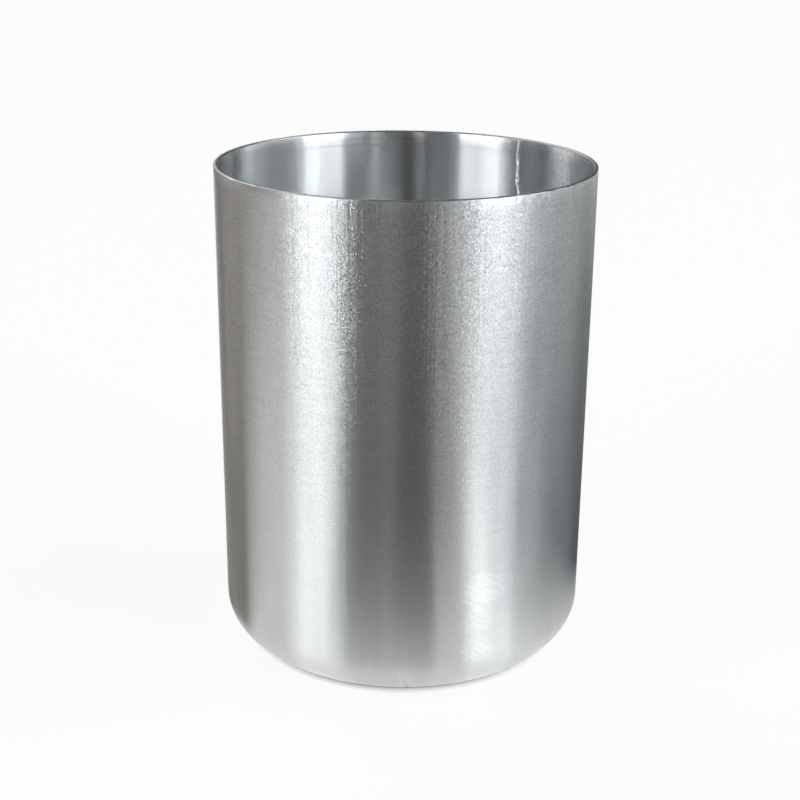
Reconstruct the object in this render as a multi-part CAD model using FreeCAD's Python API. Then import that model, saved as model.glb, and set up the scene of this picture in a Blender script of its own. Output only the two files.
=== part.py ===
"""Deep drawn aluminium cup: one piece of sheet, drawn over a round punch and trimmed at the mouth.

The wall stands straight up from a flat base, through a large round corner that the punch nose
forms. Drawing leaves the base at the full sheet thickness and the wall a little thinner. The
mouth is trimmed square, and both edges of the cut are broken.

Frame: millimetres, +Z up along the cup's axis, origin at the centre of the underside.
"""

import FreeCAD, Part

import math
import os

# Driving dimensions, in millimetres.
BORE_DIAMETER = 74.0  # inside of the wall, the punch's own diameter
HEIGHT = 100.0  # underside of the base to the trimmed mouth
WALL_THICKNESS = 0.85
BASE_THICKNESS = 1.0
PUNCH_NOSE_RADIUS = 7.75  # inside corner between the base and the wall
INNER_EDGE_BREAK = 0.30  # radius on the bore side of the trimmed edge
OUTER_EDGE_BREAK = 0.22  # radius on the outer side of the trimmed edge

# Sizes that follow from them.
BORE_RADIUS = BORE_DIAMETER / 2
OUTER_RADIUS = BORE_RADIUS + WALL_THICKNESS
OUTER_CORNER_RADIUS = PUNCH_NOSE_RADIUS + WALL_THICKNESS
FLAT_RADIUS = OUTER_RADIUS - OUTER_CORNER_RADIUS  # where the flat base ends and the corner starts

FULL_TURN = 360.0


def point(radius, height):
    """A point of the section, in the XZ plane."""
    return FreeCAD.Vector(radius, 0.0, height)


def line(start, end):
    """A straight edge of the section."""
    return Part.LineSegment(start, end).toShape()


def quarter_arc(centre, radius, start_deg):
    """A quarter circle of the section that runs anticlockwise from start_deg, seen with Z up."""
    ends_and_middle = [
        centre + point(radius * math.cos(angle), radius * math.sin(angle))
        for angle in (math.radians(start_deg + step) for step in (0.0, 45.0, 90.0))
    ]
    return Part.Arc(*ends_and_middle).toShape()


def cup_section():
    """Half of the cup's section: up the outside, over the trimmed edge and down the inside."""
    outer_corner = quarter_arc(point(FLAT_RADIUS, OUTER_CORNER_RADIUS), OUTER_CORNER_RADIUS, -90.0)
    outer_edge = quarter_arc(
        point(OUTER_RADIUS - OUTER_EDGE_BREAK, HEIGHT - OUTER_EDGE_BREAK), OUTER_EDGE_BREAK, 0.0
    )
    inner_edge = quarter_arc(
        point(BORE_RADIUS + INNER_EDGE_BREAK, HEIGHT - INNER_EDGE_BREAK), INNER_EDGE_BREAK, 90.0
    )
    inner_corner = quarter_arc(
        point(FLAT_RADIUS, BASE_THICKNESS + PUNCH_NOSE_RADIUS), PUNCH_NOSE_RADIUS, -90.0
    )
    edges = [
        line(point(0.0, 0.0), point(FLAT_RADIUS, 0.0)),
        outer_corner,
        line(point(OUTER_RADIUS, OUTER_CORNER_RADIUS), point(OUTER_RADIUS, HEIGHT - OUTER_EDGE_BREAK)),
        outer_edge,
        line(point(OUTER_RADIUS - OUTER_EDGE_BREAK, HEIGHT), point(BORE_RADIUS + INNER_EDGE_BREAK, HEIGHT)),
        inner_edge,
        line(
            point(BORE_RADIUS, HEIGHT - INNER_EDGE_BREAK),
            point(BORE_RADIUS, BASE_THICKNESS + PUNCH_NOSE_RADIUS),
        ),
        inner_corner,
        line(point(FLAT_RADIUS, BASE_THICKNESS), point(0.0, BASE_THICKNESS)),
        line(point(0.0, BASE_THICKNESS), point(0.0, 0.0)),
    ]
    return Part.Face(Part.Wire(Part.__sortEdges__(edges)))


def cup():
    """The whole cup: its section turned once about the axis."""
    axis_point = point(0.0, 0.0)
    axis = FreeCAD.Vector(0.0, 0.0, 1.0)
    return cup_section().revolve(axis_point, axis, FULL_TURN)


def write_parts(parts):
    """Checks each part and writes it to parts/NODE.step."""
    os.makedirs("parts", exist_ok=True)
    for node, shape in parts.items():
        if not shape.isValid() or len(shape.Solids) != 1:
            raise ValueError(f"{node} is not one valid solid")
        shape.exportStep(f"parts/{node}.step")
        size = shape.optimalBoundingBox()
        print(
            f"{node}: {size.XLength:.2f} x {size.YLength:.2f} x {size.ZLength:.2f} mm,"
            f" {shape.Volume / 1000.0:.2f} cm3"
        )


write_parts({"cup": cup()})
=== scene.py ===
"""Deep drawn aluminium cup, dressed for the studio.

The cup is one drawn shell, so the scene models one piece: a thick shell with the true section of the
solid, and the marks that drawing, trimming and handling left on it. The finishes, the studio and the
camera follow. Lengths are in metres, +Z is up along the cup's axis and -Y points to the viewer.
"""
import logging
import math
import random
from collections.abc import Callable
from dataclasses import dataclass
from enum import Enum

import bmesh
import bpy
from mathutils import Matrix, Vector


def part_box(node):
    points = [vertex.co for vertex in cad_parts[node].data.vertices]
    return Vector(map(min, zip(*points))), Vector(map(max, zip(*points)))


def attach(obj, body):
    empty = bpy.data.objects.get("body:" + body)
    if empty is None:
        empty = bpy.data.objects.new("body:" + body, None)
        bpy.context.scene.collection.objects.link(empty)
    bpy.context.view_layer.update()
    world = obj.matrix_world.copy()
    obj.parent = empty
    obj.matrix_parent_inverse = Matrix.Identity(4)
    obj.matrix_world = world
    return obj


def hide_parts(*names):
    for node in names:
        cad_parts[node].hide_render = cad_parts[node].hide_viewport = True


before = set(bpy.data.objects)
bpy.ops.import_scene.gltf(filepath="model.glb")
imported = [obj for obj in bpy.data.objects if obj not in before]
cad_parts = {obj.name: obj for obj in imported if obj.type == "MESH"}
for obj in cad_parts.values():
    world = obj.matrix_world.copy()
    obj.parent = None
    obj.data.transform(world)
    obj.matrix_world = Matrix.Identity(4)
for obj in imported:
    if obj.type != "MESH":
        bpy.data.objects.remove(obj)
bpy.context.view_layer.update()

MM = 0.001
NODE = "cup"
BODY = "root"
LOG = logging.getLogger("drawn_cup")
NOISE_LOW, NOISE_HIGH = 0.3, 0.7  # most values of a noise texture lie between these
SMOOTH_ANGLE = math.radians(35.0)  # faces that meet at a sharper angle show an edge


class Region(Enum):
    """The parts of the shell that have a finish of their own, by material slot."""

    OUTSIDE = 0
    INSIDE = 1
    RIM = 2


def linear(hex_colour: str) -> tuple[float, float, float, float]:
    """Turn an sRGB colour into the linear values that Blender's sockets take.

    Args:
        hex_colour: Six hex digits after a hash, such as "#D8DADB".

    Returns:
        Linear red, green and blue, and an alpha of 1.
    """
    channels = (int(hex_colour[start:start + 2], 16) / 255 for start in (1, 3, 5))
    values = [c / 12.92 if c <= 0.04045 else ((c + 0.055) / 1.055) ** 2.4 for c in channels]
    return values[0], values[1], values[2], 1.0


def add_node(tree: bpy.types.NodeTree, kind: str, **settings: object) -> bpy.types.Node:
    """Add one shader node, set it up and link it.

    Args:
        tree: The node tree that takes the node.
        kind: Blender's type name for the node, without its ShaderNode prefix.
        **settings: Values by property name, or by socket name with underscores for spaces, or by
            "in0", "in1" and so on for a socket's place. A socket given as a value is linked.

    Returns:
        The new node.
    """
    node = tree.nodes.new("ShaderNode" + kind)
    for name, value in settings.items():
        if hasattr(node, name):
            setattr(node, name, value)
            continue
        place = int(name[2:]) if name[:2] == "in" and name[2:].isdigit() else name.replace("_", " ")
        socket = node.inputs[place]
        if isinstance(value, bpy.types.NodeSocket):
            tree.links.new(value, socket)
        else:
            socket.default_value = value
    return node


def start_alone() -> None:
    """Leave edit mode and deselect everything, because an operator acts on all that is selected."""
    if bpy.context.mode != "OBJECT":
        bpy.ops.object.mode_set(mode="OBJECT")
    bpy.ops.object.select_all(action="DESELECT")


def select_in_mesh(mode: str, wanted: Callable[[object], bool]) -> None:
    """Select parts of the mesh in edit mode by a test on each.

    Args:
        mode: "VERT", "EDGE" or "FACE".
        wanted: A test that takes a bmesh vertex, edge or face.
    """
    bpy.ops.mesh.select_mode(type=mode)
    bpy.ops.mesh.select_all(action="DESELECT")
    shape = bmesh.from_edit_mesh(bpy.context.edit_object.data)
    parts = {"VERT": shape.verts, "EDGE": shape.edges, "FACE": shape.faces}[mode]
    for part in parts:
        if wanted(part):
            part.select_set(True)
    shape.select_flush_mode()
    bmesh.update_edit_mesh(bpy.context.edit_object.data)


def radius_of(point: Vector) -> float:
    """Measure how far a point is from the cup's axis.

    Args:
        point: The point.

    Returns:
        Its distance from the axis.
    """
    return math.hypot(point.x, point.y)


def azimuth_of(point: Vector) -> float:
    """Find a point's bearing round the cup.

    Args:
        point: The point.

    Returns:
        The bearing in degrees: 0 faces the viewer, 90 is to the right.
    """
    return math.degrees(math.atan2(point.x, -point.y))


def bearing(degrees: float) -> Vector:
    """Point from the axis to a bearing.

    Args:
        degrees: The bearing in degrees.

    Returns:
        A level unit vector.
    """
    return Vector((math.sin(math.radians(degrees)), -math.cos(math.radians(degrees)), 0.0))


def turn_between(first: float, second: float) -> float:
    """Find the shorter turn from one bearing to another.

    Args:
        first: The bearing that the turn ends at, in degrees.
        second: The bearing that it starts from, in degrees.

    Returns:
        The signed turn in degrees, within half a turn.
    """
    return (first - second + 180.0) % 360.0 - 180.0


def noise_scale(width: float) -> float:
    """Find the scale at which the blobs of a noise texture have a given width.

    Args:
        width: The width of a blob, which is half of the noise's period.

    Returns:
        The value for the texture's Scale socket.
    """
    return 0.5 / width


@dataclass(frozen=True)
class Score:
    """A line scored up the wall by grit between the sheet and the tools.

    Attributes:
        side: The side of the wall that it is on.
        at: Its bearing in degrees.
        top: Its upper end, below the rim.
        bottom: Its lower end, below the rim.
        depth: How far it is pushed into the wall, or raised off it if negative.
        half_width: Half its width.
        wander: How far it strays from side to side.
        tear: How rough its torn metal is, as a height.
    """

    side: Region
    at: float
    top: float
    bottom: float
    depth: float
    half_width: float = 0.16 * MM
    wander: float = 0.0
    tear: float = 0.0


@dataclass
class DrawnShell:
    """The cup's one piece: a shell drawn from a disc, with its rim sheared square and barely broken.

    Attributes:
        outer_radius: Outside radius of the wall.
        height: Height over all.
        wall: Thickness of the wall.
        base: Thickness of the base.
        corner_radius: Outside radius where the wall meets the base.
        outer_break: Size of the broken outer edge of the rim.
        inner_break: Size of the broken inner edge of the rim.
        segments: Faces round the cup.
        wall_rows: Rows of faces up the wall.
        corner_rows: Rows of faces round the corner.
        wave: How far the wall swings about a true cylinder, from side to side.
        wave_length: Size of one wave of the wall.
        scores: The lines scored up the wall.
    """

    outer_radius: float
    height: float
    wall: float = 0.85 * MM
    base: float = 1.0 * MM
    corner_radius: float = 8.6 * MM
    outer_break: float = 0.22 * MM
    inner_break: float = 0.30 * MM
    segments: int = 448
    wall_rows: int = 40
    corner_rows: int = 16
    wave: float = 0.08 * MM
    wave_length: float = 26.0 * MM
    scores: tuple[Score, ...] = (
        Score(Region.INSIDE, 138.2, 0.4 * MM, 42.0 * MM, 0.16 * MM, 0.45 * MM, 0.45 * MM, 0.30 * MM),
        Score(Region.INSIDE, -94.0, 0.4 * MM, 3.6 * MM, 0.06 * MM, 0.40 * MM, 0.20 * MM, 0.18 * MM),
        Score(Region.OUTSIDE, -27.3, 1.0 * MM, 19.0 * MM, 0.018 * MM),
        Score(Region.OUTSIDE, -17.4, 38.0 * MM, 84.0 * MM, 0.006 * MM, wander=0.05 * MM),
        Score(Region.OUTSIDE, -16.0, 42.0 * MM, 80.0 * MM, -0.006 * MM, wander=0.05 * MM),
        Score(Region.OUTSIDE, 8.6, 0.6 * MM, 40.0 * MM, -0.010 * MM, wander=0.05 * MM),
        Score(Region.OUTSIDE, 50.7, 8.6 * MM, 14.6 * MM, 0.040 * MM),
        Score(Region.OUTSIDE, 55.2, 7.6 * MM, 9.4 * MM, 0.030 * MM),
    )

    def build(self) -> bpy.types.Object:
        """Model the shell from a cylinder.

        Returns:
            The finished mesh object, at the origin.
        """
        start_alone()
        bpy.ops.mesh.primitive_cylinder_add(
            vertices=self.segments, radius=self.outer_radius, depth=self.height,
            location=(0.0, 0.0, self.height / 2), end_fill_type="NGON",
        )
        shell = bpy.context.object
        shell.name = "drawn_cup_shell"
        bpy.ops.object.transform_apply(location=True)
        bpy.ops.object.mode_set(mode="EDIT")
        self._open_the_mouth()
        self._round_the_corner()
        self._divide_the_wall()
        self._ring_the_base()
        bpy.ops.object.mode_set(mode="OBJECT")
        self._thicken(shell)
        self._wave_the_wall(shell)
        bpy.ops.object.mode_set(mode="EDIT")
        for score in self.scores:
            self._cut_score(score)
        self._nick_the_rim()
        self._crease_the_corner()
        bpy.ops.object.mode_set(mode="OBJECT")
        self._mark_regions(shell)
        return shell

    def _open_the_mouth(self) -> None:
        """Take away the top face."""
        select_in_mesh("FACE", lambda face: face.normal.z > 0.5)
        bpy.ops.mesh.delete(type="ONLY_FACE")

    def _round_the_corner(self) -> None:
        """Round the edge between the wall and the base, as the die's radius does."""
        select_in_mesh("EDGE", lambda edge: all(vert.co.z < MM for vert in edge.verts))
        bpy.ops.mesh.bevel(
            offset=self.corner_radius, segments=self.corner_rows, profile=0.5, affect="EDGES",
        )

    def _divide_the_wall(self) -> None:
        """Cut the wall into level rows, so that it can take the waves of the drawing."""
        def upright(edge: bmesh.types.BMEdge) -> bool:
            return abs(edge.verts[0].co.z - edge.verts[1].co.z) > self.height / 2

        select_in_mesh("EDGE", upright)
        bpy.ops.mesh.subdivide_edgering(
            number_cuts=self.wall_rows - 1, interpolation="LINEAR", smoothness=0.0,
        )

    def _ring_the_base(self) -> None:
        """Inset the flat base in rings and close it at the centre."""
        flat_radius = self.outer_radius - self.corner_radius
        rings = 6
        # The base is the only face left that has more than four corners.
        select_in_mesh("FACE", lambda face: len(face.verts) > 4)
        for _ in range(rings):
            bpy.ops.mesh.inset(thickness=flat_radius / (rings + 1))
        bpy.ops.mesh.poke()

    def _thicken(self, shell: bpy.types.Object) -> None:
        """Give the shell its wall, inwards, then its base thickness and the broken edges of the rim.

        Args:
            shell: The thin outside surface.
        """
        solidify = shell.modifiers.new("sheet_thickness", "SOLIDIFY")
        solidify.thickness = self.wall
        solidify.offset = -1.0
        solidify.use_even_offset = True
        bpy.ops.object.modifier_apply(modifier=solidify.name)
        bpy.ops.object.mode_set(mode="EDIT")
        inner_radius = self.outer_radius - self.wall
        margin = self.wall / 4  # slack for telling the two faces of the sheet apart

        def on_inside_bottom(vert: bmesh.types.BMVert) -> bool:
            level = vert.co.z
            if level > self.corner_radius + margin:
                return False
            sunk = self.corner_radius - level
            centre = self.outer_radius - self.corner_radius
            if radius_of(vert.co) > centre:
                reach = math.hypot(radius_of(vert.co) - centre, sunk)
                return reach < self.corner_radius - margin
            return level > margin

        select_in_mesh("VERT", on_inside_bottom)
        bpy.ops.transform.translate(value=(0.0, 0.0, self.base - self.wall))
        for radius, size in ((self.outer_radius, self.outer_break), (inner_radius, self.inner_break)):
            select_in_mesh("EDGE", lambda edge, radius=radius: all(
                abs(vert.co.z - self.height) < margin / 4 and abs(radius_of(vert.co) - radius) < margin / 4
                for vert in edge.verts
            ))
            bpy.ops.mesh.bevel(offset=size, segments=3, profile=0.5, affect="EDGES")
        bpy.ops.object.mode_set(mode="OBJECT")

    def _wave_the_wall(self, shell: bpy.types.Object) -> None:
        """Let the wall wander a little from a true cylinder, both faces together.

        Args:
            shell: The thick shell.
        """
        texture = bpy.data.textures.new("drawing_waves", "CLOUDS")
        texture.cloud_type = "COLOR"
        texture.noise_scale = self.wave_length
        waves = shell.modifiers.new("drawing_waves", "DISPLACE")
        waves.texture = texture
        waves.texture_coords = "LOCAL"
        waves.direction = "RGB_TO_XYZ"
        waves.strength = self.wave
        bpy.ops.object.modifier_apply(modifier=waves.name)

    def _on_side(self, point: Vector, side: Region) -> bool:
        """Tell whether a point is on one side of the upright wall.

        Args:
            point: The point.
            side: The outside or the inside.

        Returns:
            True if it is on that side.
        """
        middle = self.outer_radius - self.wall / 2
        if side is Region.OUTSIDE:
            return radius_of(point) > middle
        return radius_of(point) < middle and point.z > self.base + self.wall

    def _cut_score(self, score: Score) -> None:
        """Divide the faces along a score, then push them in or out along its line.

        Args:
            score: The line to cut.
        """
        strip = math.degrees((score.half_width + score.wander) / self.outer_radius)
        strip += 180.0 / self.segments
        high, low = self.height - score.top, self.height - score.bottom

        def on_strip(face: bmesh.types.BMFace) -> bool:
            centre = face.calc_center_median()
            near = abs(turn_between(azimuth_of(centre), score.at)) < strip
            return near and low < centre.z < high and self._on_side(centre, score.side)

        cuts = 5
        sway = 0.8  # how far a score strays from one row to the next, as a share of its wander
        shallow, deep = 0.5, 1.3  # how its depth changes from row to row
        select_in_mesh("FACE", on_strip)
        bpy.ops.mesh.subdivide(number_cuts=cuts)
        random.seed(round(score.at * 10))
        step = self.height / self.wall_rows / (cuts + 1)
        strays, pushes = [0.0], [1.0]
        for _ in range(math.ceil((high - low) / step) + cuts):
            stray = strays[-1] + random.uniform(-sway, sway) * score.wander
            strays.append(max(-score.wander, min(score.wander, stray)))
            pushes.append(random.uniform(shallow, deep) if score.wander else 1.0)
        outward = -1.0 if score.side is Region.OUTSIDE else 1.0
        shape = bmesh.from_edit_mesh(bpy.context.edit_object.data)
        for vert in shape.verts:
            if not vert.select:
                continue
            row = max(0, round((high - vert.co.z) / step))
            turn = math.radians(turn_between(azimuth_of(vert.co), score.at))
            off = abs(turn * self.outer_radius - strays[row]) / score.half_width
            if off < 1.0:
                push = score.depth * pushes[row] + random.uniform(-0.5, 0.5) * score.tear
                vert.co += bearing(azimuth_of(vert.co)) * outward * push * (1.0 - off)
        bmesh.update_edit_mesh(bpy.context.edit_object.data)

    def _nick_the_rim(self) -> None:
        """Leave the small nicks and burrs of the trimming on the rim."""
        stretches = ((24.0, 56.0, 16), (-60.0, -20.0, 7), (60.0, 300.0, 16))  # from, to, how many nicks
        outward, upward = (-0.03, 0.08), (-0.14, -0.03)  # how far a nick is pushed, in millimetres
        lowest = self.height - self.inner_break * 0.8  # just below the broken outer edge
        half_nick = 360.0 / self.segments * 0.6  # wide enough to take in a column of vertices
        random.seed(5)
        for start, end, count in stretches:
            for _ in range(count):
                at = random.uniform(start, end)
                select_in_mesh("VERT", lambda vert, at=at: (
                    vert.co.z > lowest
                    and radius_of(vert.co) > self.outer_radius - self.wall / 2
                    and abs(turn_between(azimuth_of(vert.co), at)) < half_nick
                ))
                push = bearing(at) * random.uniform(*outward) * MM
                push.z = random.uniform(*upward) * MM
                bpy.ops.transform.translate(value=push)

    def _on_outer_corner(self, point: Vector) -> bool:
        """Tell whether a point is on the outside of the rounded corner under the wall.

        Args:
            point: The point.

        Returns:
            True if it is.
        """
        centre = Vector((self.outer_radius - self.corner_radius, self.corner_radius))
        reach = Vector((radius_of(point), point.z)) - centre
        return reach.x > 0.0 and reach.y < 0.0 and reach.length > self.corner_radius - self.wall / 2

    def _crease_the_corner(self) -> None:
        """Fold the small slanted crease into the corner at the front."""
        top, bottom = Vector((-0.8 * MM, 0.0, 7.2 * MM)), Vector((1.1 * MM, 0.0, 1.8 * MM))
        depth, narrow, wide = 0.34 * MM, 0.16 * MM, 0.40 * MM
        half_field = 2 * MM  # how far to each side the corner is divided finely
        run_out = 0.6  # share of a sine's half wave that the depth follows, so that it ends open

        def near(face: bmesh.types.BMFace) -> bool:
            centre = face.calc_center_median()
            in_front = centre.y < 0.0 and abs(centre.x) < half_field
            return in_front and self._on_outer_corner(centre)

        select_in_mesh("FACE", near)
        bpy.ops.mesh.subdivide(number_cuts=5)
        shape = bmesh.from_edit_mesh(bpy.context.edit_object.data)
        for vert in shape.verts:
            if not vert.select or not bottom.z < vert.co.z < top.z:
                continue
            along = (top.z - vert.co.z) / (top.z - bottom.z)
            line = top.x + (bottom.x - top.x) * along
            off = abs(vert.co.x - line) / (narrow + (wide - narrow) * along)
            if off < 1.0:
                push = depth * math.sin(math.pi * min(1.0, along * run_out)) * (1.0 - off)
                vert.co += Vector((0.0, push, push)) / math.sqrt(2.0)
        bmesh.update_edit_mesh(bpy.context.edit_object.data)

    def _mark_regions(self, shell: bpy.types.Object) -> None:
        """Give each face the material slot of its region.

        Args:
            shell: The finished shell.
        """
        edge = self.inner_break * 1.02  # just past the broken inner edge
        for face in shell.data.polygons:
            point = face.center
            if point.z > self.height - edge:
                region = Region.RIM
            elif self._on_outer_corner(point) or point.z < self.base / 2:
                region = Region.OUTSIDE
            elif point.z > self.corner_radius and radius_of(point) > self.outer_radius - self.wall / 2:
                region = Region.OUTSIDE
            else:
                region = Region.INSIDE
            face.material_index = region.value


@dataclass(frozen=True)
class RubAndSheen:
    """A patch of the wall that was rubbed after drawing. Its slanted strokes are painted lighter in the
    metal's colour, a painted sheen that stands in for a brighter reflection.

    Attributes:
        at: Bearing of its centre in degrees.
        level: Height of its centre.
        half_width: Half its width.
        half_height: Half its height.
        slant: How far its strokes fall to the right, in degrees.
        gain: How much lighter its strokes are painted, as a painted highlight.
        fill: How bright the metal between its strokes is, as a share of them.
        stroke_width: Width of a stroke.
        wall_radius: Radius of the wall that it is on.
    """

    at: float
    level: float
    half_width: float
    half_height: float
    slant: float
    gain: float
    fill: float
    stroke_width: float = 0.25 * MM
    wall_radius: float = 37.8 * MM


@dataclass(frozen=True)
class ToolRing:
    """A thin dull line that the punch left round the wall.

    Attributes:
        level: Its height.
        half_width: Half its width.
        loss: How much darker it is.
    """

    level: float
    half_width: float
    loss: float


@dataclass(frozen=True)
class DrawnFinish:
    """Bare drawn aluminium: a dull silver metal, grained by the stretch of the sheet and by the tools.

    Attributes:
        name: The material's name.
        colour: Face-on reflectance, as an sRGB hex colour.
        roughness: Mean roughness.
        patchiness: How much the roughness changes from patch to patch.
        anisotropy: How much longer the gloss runs along the cup than round it.
        grain_tilt: How far the grains of the stretched sheet lean, as a slope.
        grain_rarity: How few of the grains lean; at 0 they all do.
        grain_tone: How much lighter or darker a grain is than the metal.
        grain_at_foot: Share of the grain that is left at the foot of the wall.
        line_height: Depth of the draw lines that run up the wall.
        ring_height: Depth of the lines that run round the wall.
        streak_tone: How much lighter or darker the soft upright streaks are.
        brush_tone: How much lighter or darker the short level strokes are.
        rubs_and_sheen: Rubbed patches, with their painted sheen.
        rings: Lines that the punch left.
        grain_width: Width of a grain.
        grain_flatness: Width of a grain over its height.
        line_width: Width of a draw line.
        ring_width: Width of a line round the wall.
        streak_width: Width of a soft streak.
        brush_width: Width of a level stroke.
    """

    name: str
    colour: str
    roughness: float
    patchiness: float
    anisotropy: float = 1.0
    grain_tilt: float = 0.0
    grain_rarity: float = 1.0
    grain_tone: float = 0.0
    grain_at_foot: float = 1.0
    line_height: float = 0.0
    ring_height: float = 0.0
    streak_tone: float = 0.0
    brush_tone: float = 0.0
    rubs_and_sheen: tuple[RubAndSheen, ...] = ()
    rings: tuple[ToolRing, ...] = ()
    grain_width: float = 0.12 * MM
    grain_flatness: float = 0.75
    line_width: float = 0.40 * MM
    ring_width: float = 0.60 * MM
    streak_width: float = 1.40 * MM
    brush_width: float = 0.22 * MM

    def material(self) -> bpy.types.Material:
        """Build the node material.

        Returns:
            The new material.
        """
        material = bpy.data.materials.new(self.name)
        material.use_nodes = True
        tree = material.node_tree
        tree.nodes.clear()
        place = add_node(tree, "TexCoord").outputs["Object"]
        level = add_node(tree, "SeparateXYZ", Vector=place).outputs["Z"]
        grain = self._fade(
            tree, level, low=10.0 * MM, high=80.0 * MM, at_low=self.grain_at_foot, at_high=1.0,
        )
        grains = self._grains(tree, place)
        bump = add_node(
            tree, "Bump", Height=self._relief(tree, place, level), Distance=MM, Strength=1.0,
            Normal=self._leaning(tree, grains, grain),
        )
        # The tangent runs round the cup. A quarter turn stretches the gloss up the wall instead.
        tangent = add_node(tree, "Tangent", direction_type="RADIAL", axis="Z")
        metal = add_node(
            tree, "BsdfPrincipled", Base_Color=self._tone(tree, place, level, grains, grain), Metallic=1.0,
            Roughness=self._dullness(tree, place), Anisotropic=self.anisotropy,
            Anisotropic_Rotation=0.25, Tangent=tangent.outputs[0], Normal=bump.outputs[0],
        )
        add_node(tree, "OutputMaterial", Surface=metal.outputs[0])
        return material

    @staticmethod
    def _fade(
        tree: bpy.types.NodeTree, level: bpy.types.NodeSocket, low: float, high: float, at_low: float,
        at_high: float,
    ) -> bpy.types.NodeSocket:
        """Give a share that changes evenly between two heights.

        Args:
            tree: The material's node tree.
            level: Height above the floor.
            low: The lower height.
            high: The upper height.
            at_low: The share at and below the lower height.
            at_high: The share at and above the upper height.

        Returns:
            The share.
        """
        fade = add_node(
            tree, "MapRange", Value=level, From_Min=low, From_Max=high, To_Min=at_low, To_Max=at_high,
        )
        return fade.outputs[0]

    def _grains(
        self, tree: bpy.types.NodeTree, place: bpy.types.NodeSocket,
    ) -> bpy.types.NodeSocket:
        """Divide the metal into grains and draw three random numbers for each.

        Args:
            tree: The material's node tree.
            place: Object coordinates.

        Returns:
            The random numbers, each between -0.5 and 0.5, as a vector.
        """
        middle = (0.5, 0.5, 0.5)
        tall = add_node(tree, "Mapping", Vector=place, Scale=(1.0, 1.0, self.grain_flatness))
        cells = add_node(tree, "TexVoronoi", Vector=tall.outputs[0], Scale=1.0 / self.grain_width)
        return add_node(
            tree, "VectorMath", operation="SUBTRACT", in0=cells.outputs["Color"], in1=middle,
        ).outputs[0]

    def _leaning(
        self, tree: bpy.types.NodeTree, grains: bpy.types.NodeSocket, grain: bpy.types.NodeSocket,
    ) -> bpy.types.NodeSocket:
        """Lean each grain of the stretched sheet its own way, most of them a little and a few a lot.

        Args:
            tree: The material's node tree.
            grains: The random numbers of the grains.
            grain: Share of the grain.

        Returns:
            The normal.
        """
        to_unit = 2.0  # the random numbers reach half a unit either way
        length = add_node(tree, "VectorMath", operation="LENGTH", in0=grains).outputs["Value"]
        size = add_node(tree, "Math", operation="MULTIPLY", in0=length, in1=to_unit)
        rarity = add_node(tree, "Math", operation="POWER", in0=size.outputs[0], in1=self.grain_rarity)
        share = add_node(tree, "Math", operation="MULTIPLY", in0=grain, in1=to_unit * self.grain_tilt)
        amount = add_node(tree, "Math", operation="MULTIPLY", in0=rarity.outputs[0], in1=share.outputs[0])
        lean = add_node(tree, "VectorMath", operation="SCALE", in0=grains, Scale=amount.outputs[0])
        upright = add_node(tree, "NewGeometry").outputs["Normal"]
        total = add_node(tree, "VectorMath", operation="ADD", in0=upright, in1=lean.outputs[0])
        return add_node(tree, "VectorMath", operation="NORMALIZE", in0=total.outputs[0]).outputs[0]

    def _tone(
        self, tree: bpy.types.NodeTree, place: bpy.types.NodeSocket, level: bpy.types.NodeSocket,
        grains: bpy.types.NodeSocket, grain: bpy.types.NodeSocket,
    ) -> bpy.types.NodeSocket:
        """Vary the metal's colour with its grain, its streaks, its strokes and the painted sheen of its
        rubbed patches.

        Args:
            tree: The material's node tree.
            place: Object coordinates.
            level: Height above the floor.
            grains: The random numbers of the grains.
            grain: Share of the grain.

        Returns:
            The colour.
        """
        streak_flatness, stroke_flatness = 0.03, 0.06  # width of a streak or a stroke over its length
        stroke_fall = math.radians(-8.0)
        ring_core = 0.4  # share of a ring's width that is dull all over
        shade = add_node(tree, "SeparateXYZ", Vector=grains).outputs["Z"]
        tall = add_node(tree, "Mapping", Vector=place, Scale=(1.0, 1.0, streak_flatness))
        streaks = add_node(
            tree, "TexNoise", Vector=tall.outputs[0], Scale=noise_scale(self.streak_width), Detail=3.0,
        )
        slanted = add_node(
            tree, "Mapping", Vector=place, Rotation=(0.0, stroke_fall, 0.0),
            Scale=(stroke_flatness, stroke_flatness, 1.0),
        )
        strokes = add_node(
            tree, "TexNoise", Vector=slanted.outputs[0], Scale=noise_scale(self.brush_width), Detail=1.0,
        )
        rising = self._fade(tree, level, low=15.0 * MM, high=55.0 * MM, at_low=0.3, at_high=1.0)
        total = 1.0
        for value, low, high, tone, share in (
            (shade, -0.5, 0.5, self.grain_tone, grain),
            (streaks.outputs[0], NOISE_LOW, NOISE_HIGH, self.streak_tone, 1.0),
            (strokes.outputs[0], NOISE_LOW, NOISE_HIGH, self.brush_tone, rising),
        ):
            spread = add_node(
                tree, "MapRange", Value=value, From_Min=low, From_Max=high, To_Min=-tone, To_Max=tone,
                clamp=False,
            )
            total = add_node(
                tree, "Math", operation="MULTIPLY_ADD", in0=spread.outputs[0], in1=share, in2=total,
            ).outputs[0]
        # Rubbed patches add painted sheen: lighter colour in place of a brighter reflection.
        for rub in self.rubs_and_sheen:
            total = add_node(
                tree, "Math", operation="ADD", in0=total, in1=self._rub_sheen(tree, place, rub),
            ).outputs[0]
        for ring in self.rings:
            away = add_node(tree, "Math", operation="SUBTRACT", in0=level, in1=ring.level)
            away = add_node(tree, "Math", operation="ABSOLUTE", in0=away.outputs[0])
            line = add_node(
                tree, "MapRange", Value=away.outputs[0], From_Min=ring.half_width * ring_core,
                From_Max=ring.half_width, To_Min=-ring.loss, To_Max=0.0,
            )
            total = add_node(
                tree, "Math", operation="ADD", in0=total, in1=line.outputs[0],
            ).outputs[0]
        scaled = add_node(
            tree, "VectorMath", operation="SCALE", in0=linear(self.colour)[:3], Scale=total,
        )
        return scaled.outputs[0]

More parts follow.
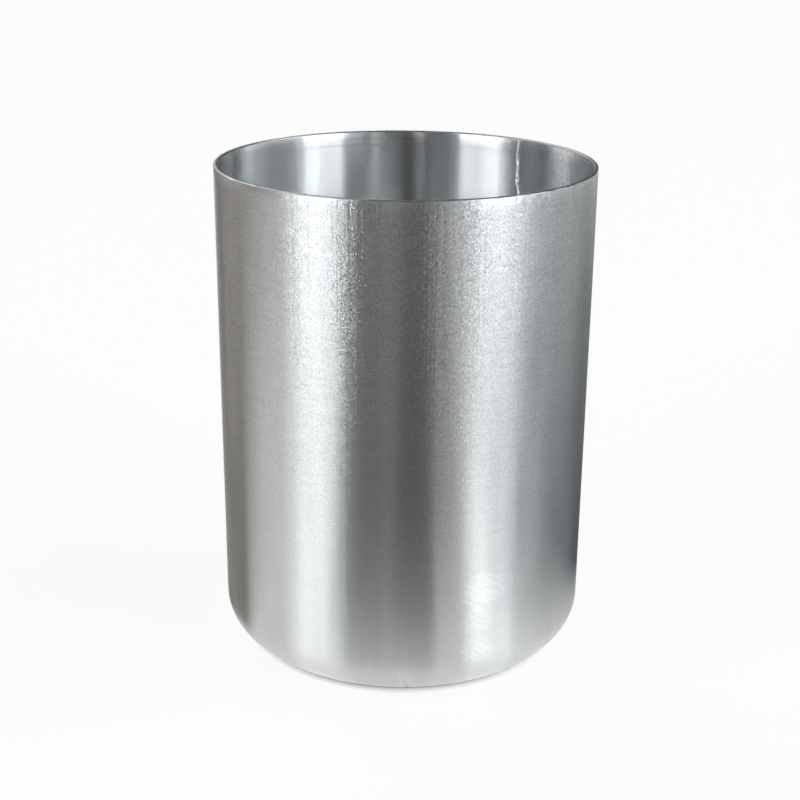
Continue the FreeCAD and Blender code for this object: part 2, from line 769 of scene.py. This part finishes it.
    @staticmethod
    def _rub_sheen(
        tree: bpy.types.NodeTree, place: bpy.types.NodeSocket, rub: RubAndSheen,
    ) -> bpy.types.NodeSocket:
        """Give the painted sheen of a rubbed patch: extra lightness in the metal's colour that stands in
        for a brighter reflection.

        Args:
            tree: The material's node tree.
            place: Object coordinates.
            rub: The patch.

        Returns:
            How much lighter the metal is painted there.
        """
        stroke_flatness = 0.12  # width of a stroke over its length
        full_within, none_beyond = 0.1, 0.5  # how the ragged edge of the patch thins out
        gap, stroke = 0.38, 0.62  # values of the noise that make a gap and a full stroke
        turned = (0.0, math.radians(rub.slant), math.radians(rub.at))
        along = add_node(tree, "Mapping", vector_type="TEXTURE", Vector=place, Rotation=turned)
        drawn_out = add_node(
            tree, "Mapping", Vector=along.outputs[0], Scale=(stroke_flatness, stroke_flatness, 1.0),
        )
        lines = add_node(
            tree, "TexNoise", Vector=drawn_out.outputs[0], Scale=noise_scale(rub.stroke_width), Detail=3.0,
        )
        patch = add_node(
            tree, "Mapping", vector_type="TEXTURE", Vector=place,
            Location=Vector((0.0, 0.0, rub.level)) + bearing(rub.at) * rub.wall_radius,
            Rotation=(0.0, 0.0, math.radians(rub.at)),
            Scale=(rub.half_width, rub.wall_radius, rub.half_height),
        )
        reach = add_node(tree, "VectorMath", operation="LENGTH", in0=patch.outputs[0])
        ragged = add_node(
            tree, "Math", operation="MULTIPLY_ADD", in0=lines.outputs[0], in1=-1.0,
            in2=reach.outputs["Value"],
        )
        inside = add_node(
            tree, "MapRange", Value=ragged.outputs[0], From_Min=full_within, From_Max=none_beyond,
            To_Min=1.0, To_Max=0.0,
        )
        strokes = add_node(
            tree, "MapRange", Value=lines.outputs[0], From_Min=gap, From_Max=stroke,
            To_Min=rub.gain * rub.fill, To_Max=rub.gain,
        )
        return add_node(
            tree, "Math", operation="MULTIPLY", in0=inside.outputs[0], in1=strokes.outputs[0],
        ).outputs[0]

    def _relief(
        self, tree: bpy.types.NodeTree, place: bpy.types.NodeSocket, level: bpy.types.NodeSocket,
    ) -> bpy.types.NodeSocket:
        """Sum the relief of the draw lines and of the lines round the wall.

        Args:
            tree: The material's node tree.
            place: Object coordinates.
            level: Height above the floor.

        Returns:
            The height in millimetres.
        """
        line_flatness, ring_flatness = 0.012, 0.02  # width of a line over its length
        upright = add_node(tree, "Mapping", Vector=place, Scale=(1.0, 1.0, line_flatness))
        lines = add_node(
            tree, "TexNoise", Vector=upright.outputs[0], Scale=noise_scale(self.line_width), Detail=2.0,
        )
        flat = add_node(tree, "Mapping", Vector=place, Scale=(ring_flatness, ring_flatness, 1.0))
        rings = add_node(
            tree, "TexNoise", Vector=flat.outputs[0], Scale=noise_scale(self.ring_width), Detail=1.0,
        )
        # Both kinds of line are deepest towards the rim.
        near_rim = self._fade(tree, level, low=50.0 * MM, high=98.0 * MM, at_low=0.25, at_high=1.0)
        at_rim = self._fade(tree, level, low=92.0 * MM, high=97.0 * MM, at_low=0.3, at_high=1.0)
        total = None
        for texture, depth, share in (
            (lines, self.line_height, near_rim), (rings, self.ring_height, at_rim),
        ):
            relief = add_node(
                tree, "Math", operation="MULTIPLY", in0=texture.outputs[0], in1=depth / MM,
            )
            part = add_node(
                tree, "Math", operation="MULTIPLY", in0=relief.outputs[0], in1=share,
            ).outputs[0]
            total = part if total is None else add_node(
                tree, "Math", operation="ADD", in0=total, in1=part,
            ).outputs[0]
        return total

    def _dullness(self, tree: bpy.types.NodeTree, place: bpy.types.NodeSocket) -> bpy.types.NodeSocket:
        """Vary the roughness in soft upright patches, as a worn die leaves it.

        Args:
            tree: The material's node tree.
            place: Object coordinates.

        Returns:
            The roughness.
        """
        patch_width, patch_flatness = 3.0 * MM, 0.15
        upright = add_node(tree, "Mapping", Vector=place, Scale=(1.0, 1.0, patch_flatness))
        patches = add_node(
            tree, "TexNoise", Vector=upright.outputs[0], Scale=noise_scale(patch_width), Detail=4.0,
            Roughness=0.65,
        )
        spread = add_node(
            tree, "MapRange", Value=patches.outputs[0], From_Min=NOISE_LOW, From_Max=NOISE_HIGH,
            To_Min=self.roughness - self.patchiness, To_Max=self.roughness + self.patchiness,
        )
        return spread.outputs[0]


@dataclass(frozen=True)
class Softbox:
    """A tall soft lamp that stands round the cup.

    Attributes:
        name: The lamp's name.
        left: Bearing of one upright edge in degrees.
        right: Bearing of the other upright edge in degrees.
        bottom: Elevation of the lower edge in degrees.
        top: Elevation of the upper edge in degrees.
        radiance: Brightness of its face, where 1 is white.
        colour: Colour of its light, as an sRGB hex colour.
    """

    name: str
    left: float
    right: float
    bottom: float
    top: float
    radiance: float
    colour: str = "#FFFFFF"

    def add(self, distance: float) -> None:
        """Hang the lamp, facing the cup.

        Args:
            distance: How far it stands from the axis.
        """
        low = distance * math.tan(math.radians(self.bottom))
        high = distance * math.tan(math.radians(self.top))
        width = 2 * distance * math.tan(math.radians((self.right - self.left) / 2))
        lamp = bpy.data.lights.new(self.name, "AREA")
        lamp.shape = "RECTANGLE"
        lamp.size, lamp.size_y = width, high - low
        # A lamp's brightness is its energy, spread over pi times its area.
        lamp.energy = self.radiance * math.pi * width * (high - low)
        lamp.color = linear(self.colour)[:3]
        body = bpy.data.objects.new(self.name, lamp)
        bpy.context.collection.objects.link(body)
        middle = (self.left + self.right) / 2
        body.location = bearing(middle) * distance + Vector((0.0, 0.0, (low + high) / 2))
        body.rotation_euler = (math.radians(90.0), 0.0, math.radians(middle))
        body.visible_camera = False


@dataclass(frozen=True)
class FloorCard:
    """A dark card that lies on the floor, out of view, and shades one stretch of the cup's reflection.

    Attributes:
        name: The card's name.
        left: Bearing of its left edge in degrees.
        right: Bearing of its right edge in degrees.
        near: How far from the cup's wall it begins.
        far: How far from the cup's wall it ends.
        colour: Its colour, as an sRGB hex colour.
    """

    name: str
    left: float
    right: float
    near: float
    far: float
    colour: str

    def lay(self, cup_radius: float) -> None:
        """Lay the card as a fan: at each bearing it lies along the reflection that the wall sends there.

        Args:
            cup_radius: Outside radius of the cup.
        """
        start_alone()
        folds = 12
        lift = Vector((0.0, 0.0, 0.3 * MM))  # clear of the floor
        bpy.ops.mesh.primitive_grid_add(x_subdivisions=folds, y_subdivisions=1, size=1.0)
        card = bpy.context.object
        card.name = self.name
        for vertex in card.data.vertices:
            at = self.left + (self.right - self.left) * (vertex.co.x + 0.5)
            reach = self.near + (self.far - self.near) * (vertex.co.y + 0.5)
            # What the viewer sees mirrored at a bearing lies off the wall at half of that bearing.
            vertex.co = bearing(at / 2) * cup_radius + bearing(at) * reach + lift
        card.data.materials.append(flat_colour(self.name, self.colour))
        card.visible_camera = False
        card.visible_shadow = False
        card.visible_diffuse = False


@dataclass
class Studio:
    """The set: a pale floor, tall softboxes, dark cards out of view, and a dim room.

    Attributes:
        cup_radius: Outside radius of the cup.
        lamp_distance: How far the lamps stand from the cup.
        floor_reach: Half the floor's side.
        softboxes: The lamps.
        cards: The cards on the floor.
    """

    cup_radius: float
    lamp_distance: float = 3.0
    floor_reach: float = 20.0
    softboxes: tuple[Softbox, ...] = (
        Softbox("left_window", -65.0, -36.0, 12.0, 26.0, 9.0, "#F7FBFF"),
        Softbox("left_step", -40.0, -28.0, 12.0, 28.0, 0.3, "#F7FBFF"),
        Softbox("left_skylight", -82.0, -66.0, 28.0, 50.0, 6.4, "#F8FBFF"),
        Softbox("left_fill", -98.0, -92.0, 24.0, 50.0, 3.0, "#FFFFFF"),
        Softbox("right_window", 42.0, 70.0, 12.0, 34.0, 8.0, "#F7FBFF"),
        Softbox("right_skylight", 73.0, 107.0, 28.0, 50.0, 6.6, "#F7FBFF"),
        Softbox("front_strip", -12.0, -6.0, 14.0, 28.0, 2.1, "#FFFFFF"),
        Softbox("front_right_strip", 18.0, 23.0, 1.0, 28.0, 0.8, "#FFFFFF"),
        Softbox("right_edge", 27.0, 46.0, 1.0, 12.0, 1.6, "#F7FBFF"),
        Softbox("back_skylight", -173.0, -133.0, 25.0, 50.0, 3.7, "#FFFFFF"),
        Softbox("back_left_window", -140.0, -108.0, 5.0, 28.0, 0.75, "#FFF8F0"),
        Softbox("back_right_window", 100.0, 127.0, 12.0, 25.0, 2.1, "#F8FBFF"),
    )
    cards: tuple[FloorCard, ...] = (
        FloorCard("front_card", -15.0, 21.0, 25.0 * MM, 0.78, "#2E2E2E"),
        FloorCard("front_left_card", -45.0, -15.0, 25.0 * MM, 0.75, "#616161"),
        FloorCard("front_right_card", 21.0, 37.0, 50.0 * MM, 0.24, "#2E2E2E"),
        FloorCard("right_card", 56.0, 180.0, 30.0 * MM, 0.64, "#5F6569"),
        FloorCard("far_front_right_card", 37.0, 56.0, 0.144, 10.0, "#383838"),
        FloorCard("far_right_card", 56.0, 66.0, 0.64, 10.0, "#383838"),
        FloorCard("far_left_card", -111.0, -45.0, 0.48, 10.0, "#666666"),
        FloorCard("back_left_card", -158.0, -111.0, 10.0 * MM, 6.0, "#7B756F"),
    )

    def build(self) -> None:
        """Set out the floor, the cards, the lamps and the room."""
        self._floor()
        for card in self.cards:
            card.lay(self.cup_radius)
        for box in self.softboxes:
            box.add(self.lamp_distance)
        self._room()

    def _floor(self) -> None:
        """Lay the pale floor."""
        start_alone()
        bpy.ops.mesh.primitive_plane_add(size=2 * self.floor_reach, location=(0.0, 0.0, -0.02 * MM))
        floor = bpy.context.object
        floor.name = "studio_floor"
        floor.data.materials.append(floor_paper(self.cup_radius))

    def _room(self) -> None:
        """Light the room dimly above a pale horizon that carries the floor on."""
        world = bpy.data.worlds.new("dim_room")
        world.use_nodes = True
        tree = world.node_tree
        tree.nodes.clear()
        horizon_top, room_bottom = 0.03, 0.07  # each the sine of its elevation
        horizon_light, room_light = 0.9, 0.05
        up = add_node(tree, "SeparateXYZ", Vector=add_node(tree, "TexCoord").outputs["Generated"])
        rise = add_node(
            tree, "MapRange", Value=up.outputs["Z"], From_Min=horizon_top, From_Max=room_bottom,
            To_Min=horizon_light, To_Max=room_light,
        )
        sky = add_node(tree, "Background", Color=(1.0, 1.0, 1.0, 1.0), Strength=rise.outputs[0])
        add_node(tree, "OutputWorld", Surface=sky.outputs[0])
        bpy.context.scene.world = world


def flat_colour(name: str, colour: str) -> bpy.types.Material:
    """Build a plain matt material, which gives the cup an even tone to mirror.

    Args:
        name: The material's name.
        colour: An sRGB hex colour.

    Returns:
        The new material.
    """
    material = bpy.data.materials.new(name)
    material.use_nodes = True
    tree = material.node_tree
    tree.nodes.clear()
    cloth = add_node(tree, "BsdfDiffuse", Color=linear(colour))
    add_node(tree, "OutputMaterial", Surface=cloth.outputs[0])
    return material


def floor_paper(cup_radius: float) -> bpy.types.Material:
    """Build the pale paper of the floor, lit from below except where the cup stands on it.

    It gives the eye an even, nearly white ground that still takes the cup's own shadow.

    Args:
        cup_radius: Outside radius of the cup.

    Returns:
        The new material.
    """
    shade_within, light_beyond = 0.84, 0.90  # in cup radii, so that the corner's shadow shows
    glow_share = 0.9
    material = bpy.data.materials.new("pale_paper")
    material.use_nodes = True
    tree = material.node_tree
    tree.nodes.clear()
    path = add_node(tree, "LightPath")
    seen = add_node(
        tree, "Math", operation="MAXIMUM", in0=path.outputs["Is Camera Ray"],
        in1=path.outputs["Is Glossy Ray"],
    )
    seen = add_node(
        tree, "Math", operation="MAXIMUM", in0=seen.outputs[0], in1=path.outputs["Is Transmission Ray"],
    )
    place = add_node(tree, "TexCoord").outputs["Object"]
    reach = add_node(tree, "VectorMath", operation="LENGTH", in0=place)
    clear = add_node(
        tree, "MapRange", Value=reach.outputs["Value"], From_Min=cup_radius * shade_within,
        From_Max=cup_radius * light_beyond, To_Min=0.0, To_Max=glow_share,
    )
    share = add_node(tree, "Math", operation="MULTIPLY", in0=seen.outputs[0], in1=clear.outputs[0])
    paper = add_node(tree, "BsdfDiffuse", Color=linear("#F4F5F6"))
    glow = add_node(tree, "Emission", Color=linear("#FFFFFE"), Strength=1.0)
    mix = add_node(
        tree, "MixShader", in0=share.outputs[0], in1=paper.outputs[0], in2=glow.outputs[0],
    )
    add_node(tree, "OutputMaterial", Surface=mix.outputs[0])
    return material


@dataclass
class Viewpoint:
    """The camera, set out in outside radii of the cup.

    Attributes:
        cup_radius: Outside radius of the cup.
        distance: From the cup's axis to the camera, in cup radii.
        rise: From the floor to the camera, in cup radii.
        pitch: How far it looks down, in degrees.
        yaw: How far it looks to the right, in degrees.
        roll: How far it leans, in degrees.
        lens: Focal length in millimetres on a 36 mm sensor.
    """

    cup_radius: float
    distance: float = 7.4955
    rise: float = 4.0088
    pitch: float = 19.76
    yaw: float = -0.15
    roll: float = 0.503
    lens: float = 64.72

    def build(self) -> None:
        """Place the camera and make it the scene's own."""
        data = bpy.data.cameras.new("viewpoint")
        data.sensor_width = 36.0
        data.lens = self.lens
        data.clip_start, data.clip_end = 0.01, 100.0
        camera = bpy.data.objects.new("viewpoint", data)
        bpy.context.collection.objects.link(camera)
        turn = (
            Matrix.Rotation(math.radians(-self.yaw), 4, "Z")
            @ Matrix.Rotation(math.radians(90.0 - self.pitch), 4, "X")
            @ Matrix.Rotation(math.radians(self.roll), 4, "Z")
        )
        place = Vector((0.0, -self.distance * self.cup_radius, self.rise * self.cup_radius))
        camera.matrix_world = Matrix.Translation(place) @ turn
        bpy.context.scene.camera = camera


def cup_finishes() -> dict[Region, DrawnFinish]:
    """Set out the finish of each region of the cup.

    Returns:
        The finishes by region.
    """
    # Outside: sheet that slid through the die. It gives a satin silver whose gloss runs up the wall,
    # with a faint sparkle, upright draw lines and short level strokes. The metal's own grain is finer:
    # its cells are drawn as coarse as they need to be to show.
    outside = DrawnFinish(
        "drawn_aluminium_outside", "#D6D7D6", roughness=0.33, patchiness=0.03, grain_tilt=0.064,
        grain_tone=0.24, grain_at_foot=0.2, line_height=0.030 * MM, streak_tone=0.03,
        brush_tone=0.035,
        # The rubbed patches are painted sheen: lighter strokes in the metal's colour.
        rubs_and_sheen=(
            RubAndSheen(24.6, 23.4 * MM, 5.4 * MM, 4.4 * MM, 30.0, 0.17, 0.45),
            RubAndSheen(23.4, 17.0 * MM, 3.6 * MM, 4.0 * MM, 30.0, 0.10, 0.2),
            RubAndSheen(22.8, 10.5 * MM, 4.0 * MM, 3.0 * MM, 32.0, 0.13, 0.0),
        ),
    )
    # Inside: sheet that lay on the polished punch. It gives a smoother silver, with soft upright streaks
    # and thin dull rings under the rim. Its colour is painted lighter than the outside's, a painted
    # highlight for the brighter reflections inside the mouth.
    inside = DrawnFinish(
        "drawn_aluminium_inside", "#E4E6E7", roughness=0.26, patchiness=0.02,
        line_height=0.010 * MM, ring_height=0.012 * MM, streak_tone=0.05,
        rings=(
            ToolRing(98.4 * MM, 0.30 * MM, 0.11), ToolRing(97.0 * MM, 0.35 * MM, 0.10),
            ToolRing(95.6 * MM, 0.25 * MM, 0.05),
        ),
    )
    # Rim: metal sheared through by the trimming, dull from every side. Its colour, darker than the rest of
    # the sheet, is painted shade along the thin edge.
    rim = DrawnFinish(
        "sheared_aluminium_rim", "#A3A5A6", roughness=0.36, patchiness=0.05, anisotropy=0.0,
        grain_tilt=0.10, grain_tone=0.10,
    )
    return {Region.OUTSIDE: outside, Region.INSIDE: inside, Region.RIM: rim}


def main() -> None:
    """Build the cup, its set and its camera."""
    logging.basicConfig(level=logging.INFO, format="%(message)s")
    low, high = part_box(NODE)
    shell = DrawnShell(outer_radius=(high.x - low.x) / 2, height=high.z)
    cup = shell.build()
    finishes = cup_finishes()
    for region in Region:
        cup.data.materials.append(finishes[region].material())
    bpy.context.view_layer.objects.active = cup
    cup.select_set(True)
    bpy.ops.object.shade_smooth_by_angle(angle=SMOOTH_ANGLE)
    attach(cup, BODY)
    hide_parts(NODE)
    studio = Studio(shell.outer_radius)
    studio.build()
    LOG.info("studio: %d lamps, %d cards", len(studio.softboxes), len(studio.cards))
    Viewpoint(shell.outer_radius).build()
    LOG.info("camera: %s", bpy.context.scene.camera.name)
    bpy.context.scene.view_settings.view_transform = "Standard"


if __name__ == "__main__":
    main()
